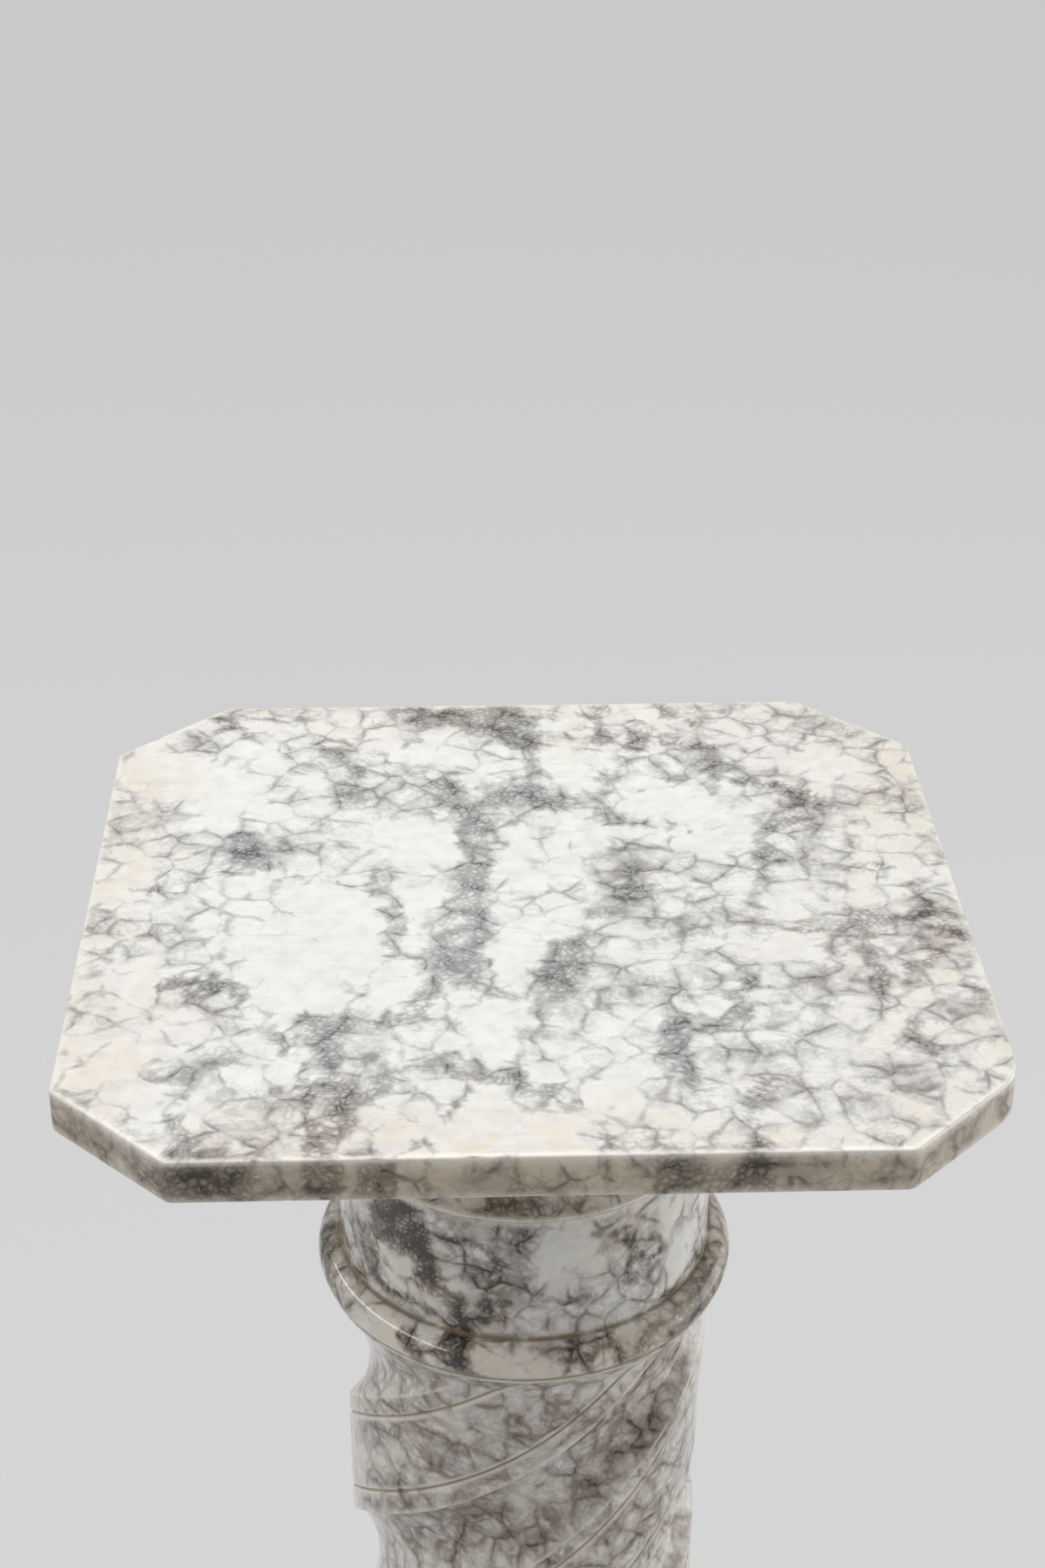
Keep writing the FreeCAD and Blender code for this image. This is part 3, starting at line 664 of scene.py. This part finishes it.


# The upper drum: a polished marble cylinder on a half round bead, bedded in plaster on the shaft. Dark veins
# cluster down its left side and over the bead, a pale blotch lies in front, and a pale patch at its front
# right is a painted pool of light. Brown dirt fills the corner over the bead, and the bead is stained and
# darkened with painted shade in front and at its right.
low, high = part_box("upper_drum")
bead_arris = 73.6 * MM
bead_lip = 1.8 * MM
bead_height = 14.3 * MM
bead_swell = 4.9 * MM
drum_dish = drum_radius - ledge
corners = [
    (bore, low.z),
    (bead_arris, low.z),
    (bead_arris, low.z + bead_lip, bead_swell),
    (drum_radius, low.z + bead_height),
    (drum_radius, high.z),
    (drum_dish, high.z),
    (drum_dish, high.z - dish),
    (bore, high.z - dish),
]
points, marks = lathed(corners, 220, 0.35 * MM, 51)
flat = around(points, drum_radius, low.z)
drum_strokes = [
    (1.55, 6.0, (-137, 55), (-130, 57), (-126, 48), (-134, 44), (-140, 48)),
    (1.35, 4.5, (-127, 50), (-123, 42), (-121, 32)),
    (1.5, 3.0, (-122, 32), (-112, 28), (-110, 16), (-109, 4)),
    (1, 2.0, (-158, 44), (-157, 34)),
    (0.9, 1.5, (-150, 32), (-145, 22), (-135, 19), (-128, 22), (-120, 20)),
    (0.9, 1.2, (-138, 34), (-133, 28), (-127, 30)),
    (0.9, 1.3, (-118, 54), (-110, 55), (-103, 52), (-99, 44), (-106, 42)),
    (1.1, 2.2, (-101, 48), (-98, 45)),
    (0.9, 1.3, (-105, 28), (-98, 22), (-97, 30), (-104, 31)),
    (0.9, 1.4, (-92, 40), (-86, 32), (-78, 29), (-74, 31)),
    (1, 1.6, (-60, 54), (-58, 44), (-61, 34), (-56, 30)),
    (0.9, 1.4, (-50, 48), (-46, 40), (-54, 36), (-58, 44)),
    (0.55, 5.0, (-92, 62), (-93, 45), (-90, 33)),
    (0.8, 1.2, (-45, 16), (-35, 18), (-25, 22)),
    (1.5, 3.4, (-126, 10), (-121, 3)),
    (1.3, 3.0, (-113, 12), (-108, 2)),
    (0.8, 1.2, (-82, 12), (-74, 9), (-68, 13), (-64, 6)),
    (0.9, 2.0, (-172, 12), (-160, 8), (-150, 3)),
    (0.7, 1.5, (-40, 10), (-30, 5), (-18, 9)),
    (0.45, 5.0, (-62, 6), (-46, 8), (-28, 9)),
]
drum_lumps_and_lit_patch = [
    (0.8, 11, (-80, 50), (-70, 46)),
    # painted light: the next lump is the pale patch at the front right, where the light from the right falls
    (0.7, 9, (-42, 46), (-36, 30)),
    (0.8, 6, (-113, 38), (-112, 34)),
    (0.8, 5, (-134, 32), (-128, 34)),
    (1.0, 5, (-140, 8), (-130, 6)),
    (0.9, 6, (-98, 7), (-86, 6)),
]
on_bead = step(flat[:, :, 1], 15 * MM, 12 * MM)
from_stain_and_shade = np.abs(flat[:, :, 0] - 40 * MM)
marks["vein"] = streaked(flat, bearings(drum_strokes, drum_radius), 1.0 * MM, 61)
marks["calm_and_lit"] = streaked(flat, bearings(drum_lumps_and_lit_patch, drum_radius), 1.5 * MM, 71, keen=2)
marks["aged"] = 0.2 + on_bead * 0.45
marks["stain_and_shade"] = on_bead * step(from_stain_and_shade, 160 * MM, 100 * MM) * 0.8
upper_drum = skin("upper_drum_stone", points, True, **marks)
drum_marble = marble("drum_marble", (-40, 250, 330), bold=0.9, hazy=0.5, cream=0.5, umber=0.4, gloss=0.1)
fit(upper_drum, "upper_drum", drum_marble)


# The spiral shaft: a marble cylinder carved by hand with three deep flutes that climb to the right between
# flat bands. Each band has two narrow grooves, yellow with old dirt, and rubbed edges painted pale, partly as
# wear and partly as a highlight. Towards its ends the core swells into bells nearly as wide as the beads,
# over which the flutes die out.
low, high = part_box("spiral_shaft")
shaft_length = high.z - low.z
shaft_radius = 66.3 * MM
core_radius = shaft_radius - 9.5 * MM
shaft_dish = core_radius - ledge
bell_radius = 73.0 * MM
bell_height = 54 * MM
lead = 307.5 * MM
starts = 3
pitch = lead / starts
slope = lead / (2 * np.pi)
flute_height = 45.5 * MM
flute_foot = shaft_length - 71.3 * MM - flute_height

# One pitch of the section, from a flute's foot up over its ramp, hollow and steep wall, then up the band.
groove_half = 1.1 * MM
groove_depth = 1.1 * MM
lower_groove = flute_height + 11 * MM
upper_groove = flute_height + 47.5 * MM
climbing = [
    (shaft_radius, 0.0),
    (shaft_radius - 6.5 * MM, 8 * MM, -4.6 * MM),
    (shaft_radius - 3.3 * MM, flute_height - 0.9 * MM),
    (shaft_radius, flute_height),
]
for groove in (lower_groove, upper_groove):
    climbing += [
        (shaft_radius, groove - groove_half),
        (shaft_radius - groove_depth, groove),
        (shaft_radius, groove + groove_half),
    ]
climbing_line = outline([*climbing, (shaft_radius, pitch)])
climbing_line = climbing_line[: np.argmax(climbing_line[:, 1])]
rows_each = 56
section, bend = thinned(climbing_line, rows_each, 0.45 * MM, 5 * MM, (0.0, pitch))
dirt, worn_and_highlit = aging(section, bend)
in_band = (section[:, 1] > flute_height + 3 * MM) & (section[:, 1] < pitch - 4 * MM)
grooves = np.where(in_band, shaft_radius - section[:, 0], 0)

# The rows climb with the flutes and waver as a hand does. They stop at the shaft's two ends, where each
# column of the mesh has one last point.
columns = 224
turn = np.linspace(-np.pi, np.pi, columns, endpoint=False)
pitches = int(np.ceil((shaft_length + lead) / pitch)) + 3
first_foot = flute_foot + (np.floor((-lead / 2 - flute_foot) / pitch) - 1) * pitch
starting = (first_foot + np.arange(pitches)[:, None] * pitch + section[:, 1]).reshape(-1, 1)
waver = 1.6 * MM * np.sin(3 * turn + np.radians(210))
climb = slope * turn + waver
free = starting + climb
levels = free.clip(0, shaft_length)


def carried(values):
    """Values along one pitch of the section, at every point of the shaft."""
    return np.interp(levels - climb - flute_foot, section[:, 1], values, period=pitch)


# The radius is the greater of the fluted section's and the bell's, joined softly: over a softness, it is
# the logarithm of the sum of both exponentials. The grooves are cut into that. Away from the ends the bell
# sinks below the flutes, and towards the ends the fluted section widens a little, as the core does.
grooved = carried(grooves)
fluted = carried(section[:, 0]) + grooved
from_end = np.minimum(levels, shaft_length - levels)
bell_line = outline([(core_radius, bell_height, 4.1 * MM), (bell_radius, 0.0), (core_radius, 0.0)])
bell_line = bell_line[: np.argmin(bell_line[:, 1]) + 1][::-1]
bell = np.interp(from_end, bell_line[:, 1], bell_line[:, 0])
bell = bell - 8 * MM * step(from_end, bell_height, bell_height + 25 * MM)
fluted = fluted + 1.6 * MM * step(from_end, 62 * MM, 30 * MM)
softness = 0.6 * MM
most = np.maximum(fluted, bell)
melt = np.exp((fluted - most) / softness) + np.exp((bell - most) / softness)
radii = most + softness * np.log(melt) - grooved

# Its ends are flat, with a shallow dish at the top, and the rod's bore runs down the middle.
caps = [
    (shaft_dish, shaft_length),
    (shaft_dish, shaft_length - dish),
    (bore, shaft_length - dish),
    (bore, shaft_length / 2),
    (bore, 0.0),
    (shaft_dish, 0.0),
]
ends = np.array(caps)[:, :, None] * np.ones(columns)
all_radii = np.concatenate([radii, ends[:, 0]])
all_levels = np.concatenate([levels, ends[:, 1]])
points = np.stack([all_radii * np.cos(turn), all_radii * np.sin(turn), all_levels + low.z], -1)
standing = step(fluted - bell, -1 * MM, 2 * MM).clip(carried(in_band.astype(float)))
# A darker band along the joint at each end, fading out 2.5 mm from it, goes into the dirt mark.
joint = 0.6 * step(from_end, 2.5 * MM, 0.5 * MM)
no_mark = np.zeros((len(caps), columns))
worn_and_highlit = np.concatenate([carried(worn_and_highlit) * standing, no_mark])
points = chipped(points, worn_and_highlit, 0.8 * MM, 81)
flat = around(points, shaft_radius, low.z)
shaft_strokes = [
    (0.63, 4.0, (-64, 644), (-60, 641)),
    (0.56, 3.0, (-82, 642), (-80, 640)),
    (0.63, 4.5, (-116, 612), (-110, 613)),
    (0.2, 7.0, (-58, 655), (-46, 648), (-36, 655)),
    (0.49, 2.0, (-97, 673), (-92, 676)),
    (0.56, 1.6, (-86, 678), (-82, 668), (-80, 664)),
    (0.35, 3.0, (-105, 625), (-92, 621)),
    (0.56, 1.2, (-82, 612), (-78, 608), (-80, 604)),
    (0.42, 2.5, (-140, 626), (-136, 622)),
    (0.56, 3.0, (-147, 609), (-144, 601)),
    (0.42, 2.0, (-72, 632), (-66, 634)),
    (0.49, 2.5, (-26, 668), (-30, 660)),
    (0.42, 3.0, (-120, 660), (-112, 655)),
]
marks = {
    "dirt": np.concatenate([np.maximum(carried(dirt) * standing, joint), no_mark]),
    "worn_and_highlit": worn_and_highlit,
    "vein": streaked(flat, bearings(shaft_strokes, shaft_radius), 1.0 * MM, 91),
    "aged": np.full(all_radii.shape, 0.6),
}


def wound(name, points, free, length, shift, marks):
    """A mesh over rows that climb round a shaft. Points past its ends are merged into one for each column.
    The last column joins the first a shift of rows higher, where the climb comes round. The rows after
    the climbing ones close the shaft from its top edge, down its bore, to its bottom edge."""
    rows, columns = points.shape[:2]
    climbing = len(free)
    grid = np.arange(rows * columns).reshape(rows, columns)
    merge = 0.15 * MM
    top = grid[climbing - 1]
    climbing_grid = np.where(free < merge, grid[0], np.where(free > length - merge, top, grid[:climbing]))
    higher = climbing_grid[(np.arange(climbing) + shift).clip(0, climbing - 1), 0]
    joined = np.concatenate([higher, grid[climbing:, 0]])
    grid = np.concatenate([np.concatenate([climbing_grid, grid[climbing:]]), joined[:, None]], 1)
    over = np.roll(grid, -1, 0)
    faces = np.stack([grid[:, :-1], grid[:, 1:], over[:, 1:], over[:, :-1]], -1).reshape(-1, 4)
    left_shut = faces[:, 0] == faces[:, 3]
    right_shut = faces[:, 1] == faces[:, 2]
    four = faces[~left_shut & ~right_shut]
    left_three = faces[left_shut & ~right_shut][:, :3]
    right_three = faces[right_shut & ~left_shut][:, [0, 1, 3]]
    three = np.concatenate([left_three, right_three])
    used = np.unique(np.concatenate([four.ravel(), three.ravel()]))
    mesh = bpy.data.meshes.new(name)
    corners = np.searchsorted(used, four).tolist() + np.searchsorted(used, three).tolist()
    mesh.from_pydata(points.reshape(-1, 3)[used], [], corners)
    for mark, values in marks.items():
        values = values.reshape(-1)[used].astype(np.float32)
        mesh.attributes.new(mark, "FLOAT", "POINT").data.foreach_set("value", values)
    mesh.shade_smooth()
    return bpy.data.objects.new(name, mesh)


shaft = wound("spiral_shaft_stone", points, free, shaft_length, starts * rows_each, marks)
# Its ground is duller than the drums', with more haze and umber: partly the stone's own tone and partly
# painted shade.
shaft_marble = marble(
    "shaft_marble", (120, -90, 45), netted=0.48, uneven=1.1, bold=0.62, hazy=0.65, umber=0.8, gloss=0.14
)
fit(shaft, "spiral_shaft", shaft_marble)


# The lower drum: the upper one turned over, cut from the same marble, so that its bead carries the shaft. It
# is bedded in plaster on the base.
low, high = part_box("lower_drum")
corners = [
    (bore, low.z),
    (drum_radius, low.z),
    (drum_radius, high.z - bead_height, bead_swell),
    (bead_arris, high.z - bead_lip),
    (bead_arris, high.z),
    (shaft_dish, high.z),
    (shaft_dish, high.z - dish),
    (bore, high.z - dish),
]
points, marks = lathed(corners, 220, 0.35 * MM, 101)
marks["aged"] = 0.3
lower_drum = skin("lower_drum_stone", points, True, **marks)
fit(lower_drum, "lower_drum", drum_marble)


# The base under it, turned from the same marble: the same neck as the capital's, over two steps and a heavy
# roll on a low foot. It stands in plaster on the plinth.
low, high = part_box("base")
base_radius = high.x
roll_foot = low.z + 4 * MM
roll_top = low.z + 38 * MM
roll_edge = base_radius - 8 * MM
tread = 6 * MM
riser = 5 * MM
corners = [
    (bore, low.z),
    (base_radius, low.z),
    (base_radius, roll_foot, 15 * MM),
    (roll_edge, roll_top),
    (roll_edge - tread, roll_top),
    (roll_edge - tread, roll_top + riser),
    (roll_edge - 2 * tread, roll_top + riser, -9 * MM),
    (neck_radius, high.z - neck_height, -2.4 * MM),
    (drum_radius, high.z - neck_lip),
    (drum_radius, high.z),
    (drum_dish, high.z),
    (drum_dish, high.z - dish),
    (bore, high.z - dish),
]
points, marks = lathed(corners, 250, 0.4 * MM, 111)
marks["aged"] = 0.3
base = skin("base_stone", points, True, **marks)
base_marble = marble("base_marble", (-200, 75, 520), netted=0.55, veined=0.9, cream=0.5, gloss=0.12)
fit(base, "base", base_marble)


# The plinth: a thick slab of the marble, sawn like the plate. It is bored for the rod, with a recess under it
# for the lower nut and washer and a shallow dish on top for plaster, and its sides are dirty at the foot.
low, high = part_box("plinth")
plinth_half = high.x
base_dish = base_radius - ledge
lower_recess = 28 * MM
recess_top = low.z + 22 * MM
corners = [
    (lower_recess, low.z),
    (plinth_half, low.z),
    (plinth_half, high.z),
    (base_dish, high.z),
    (base_dish, high.z - dish),
    (bore, high.z - dish),
    (bore, recess_top),
    (lower_recess, recess_top),
]
section, bend = thinned(outline(corners), 190, 1.6 * MM)
dirt, worn_and_highlit = aging(section, bend)
section, dirt, worn_and_highlit = section[::-1], dirt[::-1, None], worn_and_highlit[::-1, None]
points = chipped(squared(section, rim[::2], base_dish), worn_and_highlit, 2.2 * MM, 121)
foot = step(points[:, :, 2], 14 * MM, 1 * MM) * 0.35
# Its lowest 3 mm and its underside take the stain and painted shade.
stain_and_shade = step(low.z + 3 * MM - points[:, :, 2], 0, 3 * MM)
marks = {"dirt": np.maximum(dirt * 0.5, foot), "worn_and_highlit": worn_and_highlit, "stain_and_shade": stain_and_shade, "aged": 0.35}
plinth = skin("plinth_stone", points, True, **marks)
plinth_marble = marble("plinth_marble", (60, -310, -150), netted=0.5, veined=1.0, cream=0.5, gloss=0.2)
fit(plinth, "plinth", plinth_marble)


# The tie rod, nuts and washers: plain steel from a shop, dull and spotted with rust. The rod is threaded at
# both ends and bevelled, the nuts' corners are turned off at an angle, and the washers' edges are eased.
def rusty_steel(name):
    """Dull rolled steel, cloudy in its grey, with rough brown rust in spots where noise is high."""
    dull, bright, rust = (0.40, 0.40, 0.41, 1), (0.56, 0.55, 0.54, 1), (0.20, 0.085, 0.035, 1)
    steel = Finish(name)
    rolled = steel.noise(steel.place, 3, 4, 0.6)
    spots = steel.noise(steel.place, 6, 5, 0.7).between(0.54, 0.66)
    colour = steel.blend(steel.blend(dull, bright, rolled), rust, spots * 0.85)
    steel.join(1 - spots * 0.9, steel.shader.inputs["Metallic"])
    steel.finished(colour, 0.34 + rolled * 0.12 + spots * 0.4, rolled + spots, 0.04 * MM)
    return steel


rod_steel = rusty_steel("rod_steel")
low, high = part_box("tie_rod")
rod_radius = high.x
thread_pitch = 2 * MM
thread_depth = 1.1 * MM
lower_thread = low.z + 36 * MM
upper_thread = high.z - 40 * MM
rod_columns = 48
turn = np.linspace(0, 2 * np.pi, rod_columns, endpoint=False)
levels = np.concatenate([
    np.linspace(high.z, upper_thread, 200),
    np.linspace(upper_thread, lower_thread, 40)[1:-1],
    np.linspace(lower_thread, low.z, 180),
])[:, None]
phase = levels / thread_pitch - turn / (2 * np.pi)
crests = 2 * np.abs(phase % 1 - 0.5)
below_shank = step(levels, lower_thread, lower_thread - thread_pitch)
above_shank = step(levels, upper_thread, upper_thread + thread_pitch)
radii = rod_radius - thread_depth * (1 - crests) * (below_shank + above_shank)
bevel = 1.5 * MM
from_end = np.minimum(levels - low.z, high.z - levels)
radii = np.minimum(radii, rod_radius - bevel + from_end)
points = np.stack([radii * np.cos(turn), radii * np.sin(turn), levels * np.ones(rod_columns)], -1)
points = np.concatenate([points[:1] * (0, 0, 1), points, points[-1:] * (0, 0, 1)])
fit(skin("tie_rod_steel", points, False), "tie_rod", rod_steel)

nut_half = 11 * MM
nut_bore = rod_radius + 0.1 * MM
nut_columns = 192
nut_bevel = 0.4 * MM
nut_slope = 1.73
turn = np.linspace(0, 2 * np.pi, nut_columns, endpoint=False)
hexagon = nut_half / np.cos(turn % np.radians(60) - np.radians(30))
nut_corner = hexagon.max()
for node in ("upper_nut", "lower_nut"):
    low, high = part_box(node)
    corners = [(nut_bore, low.z), (nut_corner, low.z), (nut_corner, high.z), (nut_bore, high.z)]
    section = thinned(outline(corners), 90, 0.2 * MM)[0][::-1]
    from_face = np.minimum(section[:, 1] - low.z, high.z - section[:, 1])[:, None]
    limit = np.minimum(hexagon, nut_half - nut_bevel + nut_slope * from_face)
    radii = nut_bore + (section[:, :1] - nut_bore) * (limit - nut_bore) / (nut_corner - nut_bore)
    levels = section[:, 1:] * np.ones(nut_columns)
    points = np.stack([radii * np.cos(turn), radii * np.sin(turn), levels], -1)
    fit(skin(node + "_steel", points, True), node, rod_steel)

washer_hole = rod_radius + 0.5 * MM
washer_columns = 128
turn = np.linspace(0, 2 * np.pi, washer_columns, endpoint=False)
for node in ("upper_washer", "lower_washer"):
    low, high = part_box(node)
    corners = [(washer_hole, low.z), (high.x, low.z), (high.x, high.z), (washer_hole, high.z)]
    section = thinned(outline(corners), 60, 0.4 * MM)[0][::-1]
    levels = section[:, 1:] * np.ones(washer_columns)
    points = np.stack([section[:, :1] * np.cos(turn), section[:, :1] * np.sin(turn), levels], -1)
    fit(skin(node + "_steel", points, True), node, rod_steel)


# The beds: thin rings of plaster, trowelled into the dish of each lower stone and pressed flat by the stone
# above. The rings come with the frame, and only the look of their matt, gritty plaster is made here.
plaster = Finish("plaster")
buff, chalk, sandy = (0.66, 0.63, 0.57, 1), (0.74, 0.72, 0.68, 1), (0.50, 0.47, 0.42, 1)
grit = plaster.noise(plaster.place, 1.2, 4, 0.7)
cloudy = plaster.noise(plaster.place, 14, 3)
colour = plaster.blend(plaster.blend(buff, chalk, cloudy), sandy, grit.between(0.55, 0.75))
plaster.finished(colour, 0.85 + cloudy * 0.1, grit, 0.1 * MM)
for stone in ("plinth", "base", "lower_drum", "shaft", "upper_drum", "capital"):
    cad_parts[stone + "_bed"].data.materials[0] = plaster.material


# The stage: a seamless pale grey floor. Seen by the camera, in a gloss or through glass, it is mostly its own
# plain colour, and the rest of it takes the light and the object's shadow.
def shown(nodes):
    """1 for rays that show a surface, which come from the camera, off a gloss or through glass, and 0 for
    those that only carry light."""
    camera_ray, glossy_ray, through_ray = [
        nodes.add("ShaderNodeLightPath", out=f"Is {way} Ray") for way in ("Camera", "Glossy", "Transmission")
    ]
    return camera_ray.most(glossy_ray).most(through_ray)


floor_reach = 14.0
floor_corners = floor_reach * np.array([(-1, -1, 0), (1, -1, 0), (1, 1, 0), (-1, 1, 0)])
floor_mesh = bpy.data.meshes.new("floor")
floor_mesh.from_pydata(floor_corners, [], [(0, 1, 2, 3)])
floor = bpy.data.objects.new("floor", floor_mesh)
bpy.context.collection.objects.link(floor)
pale = Finish("floor_paper")
glow = pale.add("ShaderNodeEmission", {}, {"Color": (0.74, 0.74, 0.745, 1), "Strength": 1.0})
matt = pale.add("ShaderNodeBsdfDiffuse", {}, {"Color": (0.52, 0.52, 0.52, 1)})
plain_share = 0.7
paper = pale.add("ShaderNodeMixShader", {}, {0: shown(pale) * plain_share, 1: matt, 2: glow})
pale.join(paper, pale.tree.nodes["Material Output"].inputs["Surface"])
floor_mesh.materials.append(pale.material)

# The light: an even, slightly warm room, whose walls show only as a plain pale backdrop. A broad soft light
# hangs overhead, a long low window high at the left draws the crisp line on the bead, and a wide pale wall
# at the right lightens that side.
world = bpy.data.worlds.new("room")
world.use_nodes = True
world.node_tree.nodes.remove(world.node_tree.nodes["Background"])
room = Nodes(world.node_tree)
walls = room.add("ShaderNodeBackground", {}, {"Color": (1.0, 0.975, 0.935, 1), "Strength": 0.43})
backdrop = room.add("ShaderNodeBackground", {}, {"Color": (0.62, 0.62, 0.62, 1), "Strength": 1.0})
both = room.add("ShaderNodeMixShader", {}, {0: shown(room), 1: walls, 2: backdrop})
room.join(both, room.tree.nodes["World Output"].inputs["Surface"])
bpy.context.scene.world = world


def lamp(name, place, aim, width, height, watts):
    """A soft rectangular light that faces a point."""
    data = bpy.data.lights.new(name, "AREA")
    data.shape = "RECTANGLE"
    data.size, data.size_y = width, height
    data.energy = watts
    light = bpy.data.objects.new(name, data)
    toward = Matrix.Translation(place).translation - Matrix.Translation(aim).translation
    light.matrix_world = Matrix.Translation(place) @ toward.to_track_quat("Z", "Y").to_matrix().to_4x4()
    bpy.context.collection.objects.link(light)


lamp("ceiling", (0.0, 0.9, 2.9), (0, 0, 1.0), 2.2, 1.6, 32)
lamp("left_window", (-2.2, -0.2, 2.3), (0, 0, 0.9), 4.2, 0.3, 24)
lamp("right_wall", (2.6, 0.4, 0.9), (0, 0, 0.9), 3.0, 1.7, 36)
